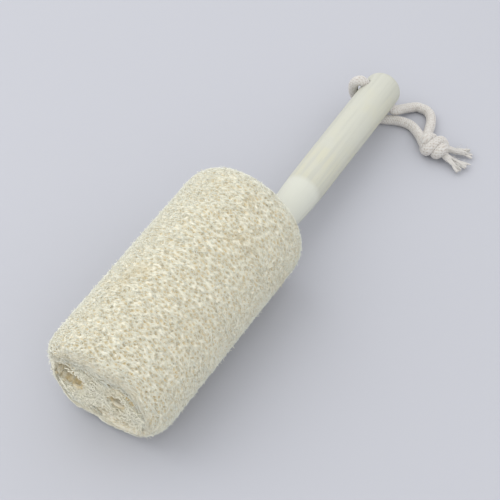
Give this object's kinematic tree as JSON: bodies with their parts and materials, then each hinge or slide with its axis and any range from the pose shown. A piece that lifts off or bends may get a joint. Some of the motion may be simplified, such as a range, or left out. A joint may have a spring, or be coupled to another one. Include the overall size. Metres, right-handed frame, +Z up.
{
  "type": "loofah back scrubber",
  "caption": "Open-ended loofah tube glued on a turned wooden handle with a domed butt and a knotted cotton hanging cord through a slanting hole.",
  "frame": {"origin": "on the surface that the scrubber lies on, under the middle of loofah and handle together", "axes": "+X from the loofah's open front end to the handle's butt, +Z up, the scrubber lying on its loofah's flattened belly"},
  "size_m": [0.2918, 0.1109, 0.0694],
  "materials": {
    "loofah_fibre": "dry matte plant fibre net",
    "loofah_web": "dry matte inner web, tan",
    "pale_wood": "sanded bare wood",
    "glue": "set clear glue",
    "cotton_cord": "soft unbleached cotton"
  },
  "bodies": {
    "brush": {"loofah_wall": "loofah_fibre", "loofah_core": "loofah_web", "handle": "pale_wood", "glue_sleeve": "glue", "cord_through_handle": "cotton_cord"},
    "hanging_loop": {"cord_strand_upper": "cotton_cord", "cord_strand_lower": "cotton_cord", "cord_knot": "cotton_cord", "cord_tail_upper": "cotton_cord", "cord_tail_lower": "cotton_cord"}
  },
  "joints": [
    {"name": "loop_lift", "type": "hinge", "parent": "brush", "child": "hanging_loop", "pos_m": [0.1476, -0.0282, 0.0031], "axis": [-1, 0, 0], "range_deg": [0, 85]}
  ]
}
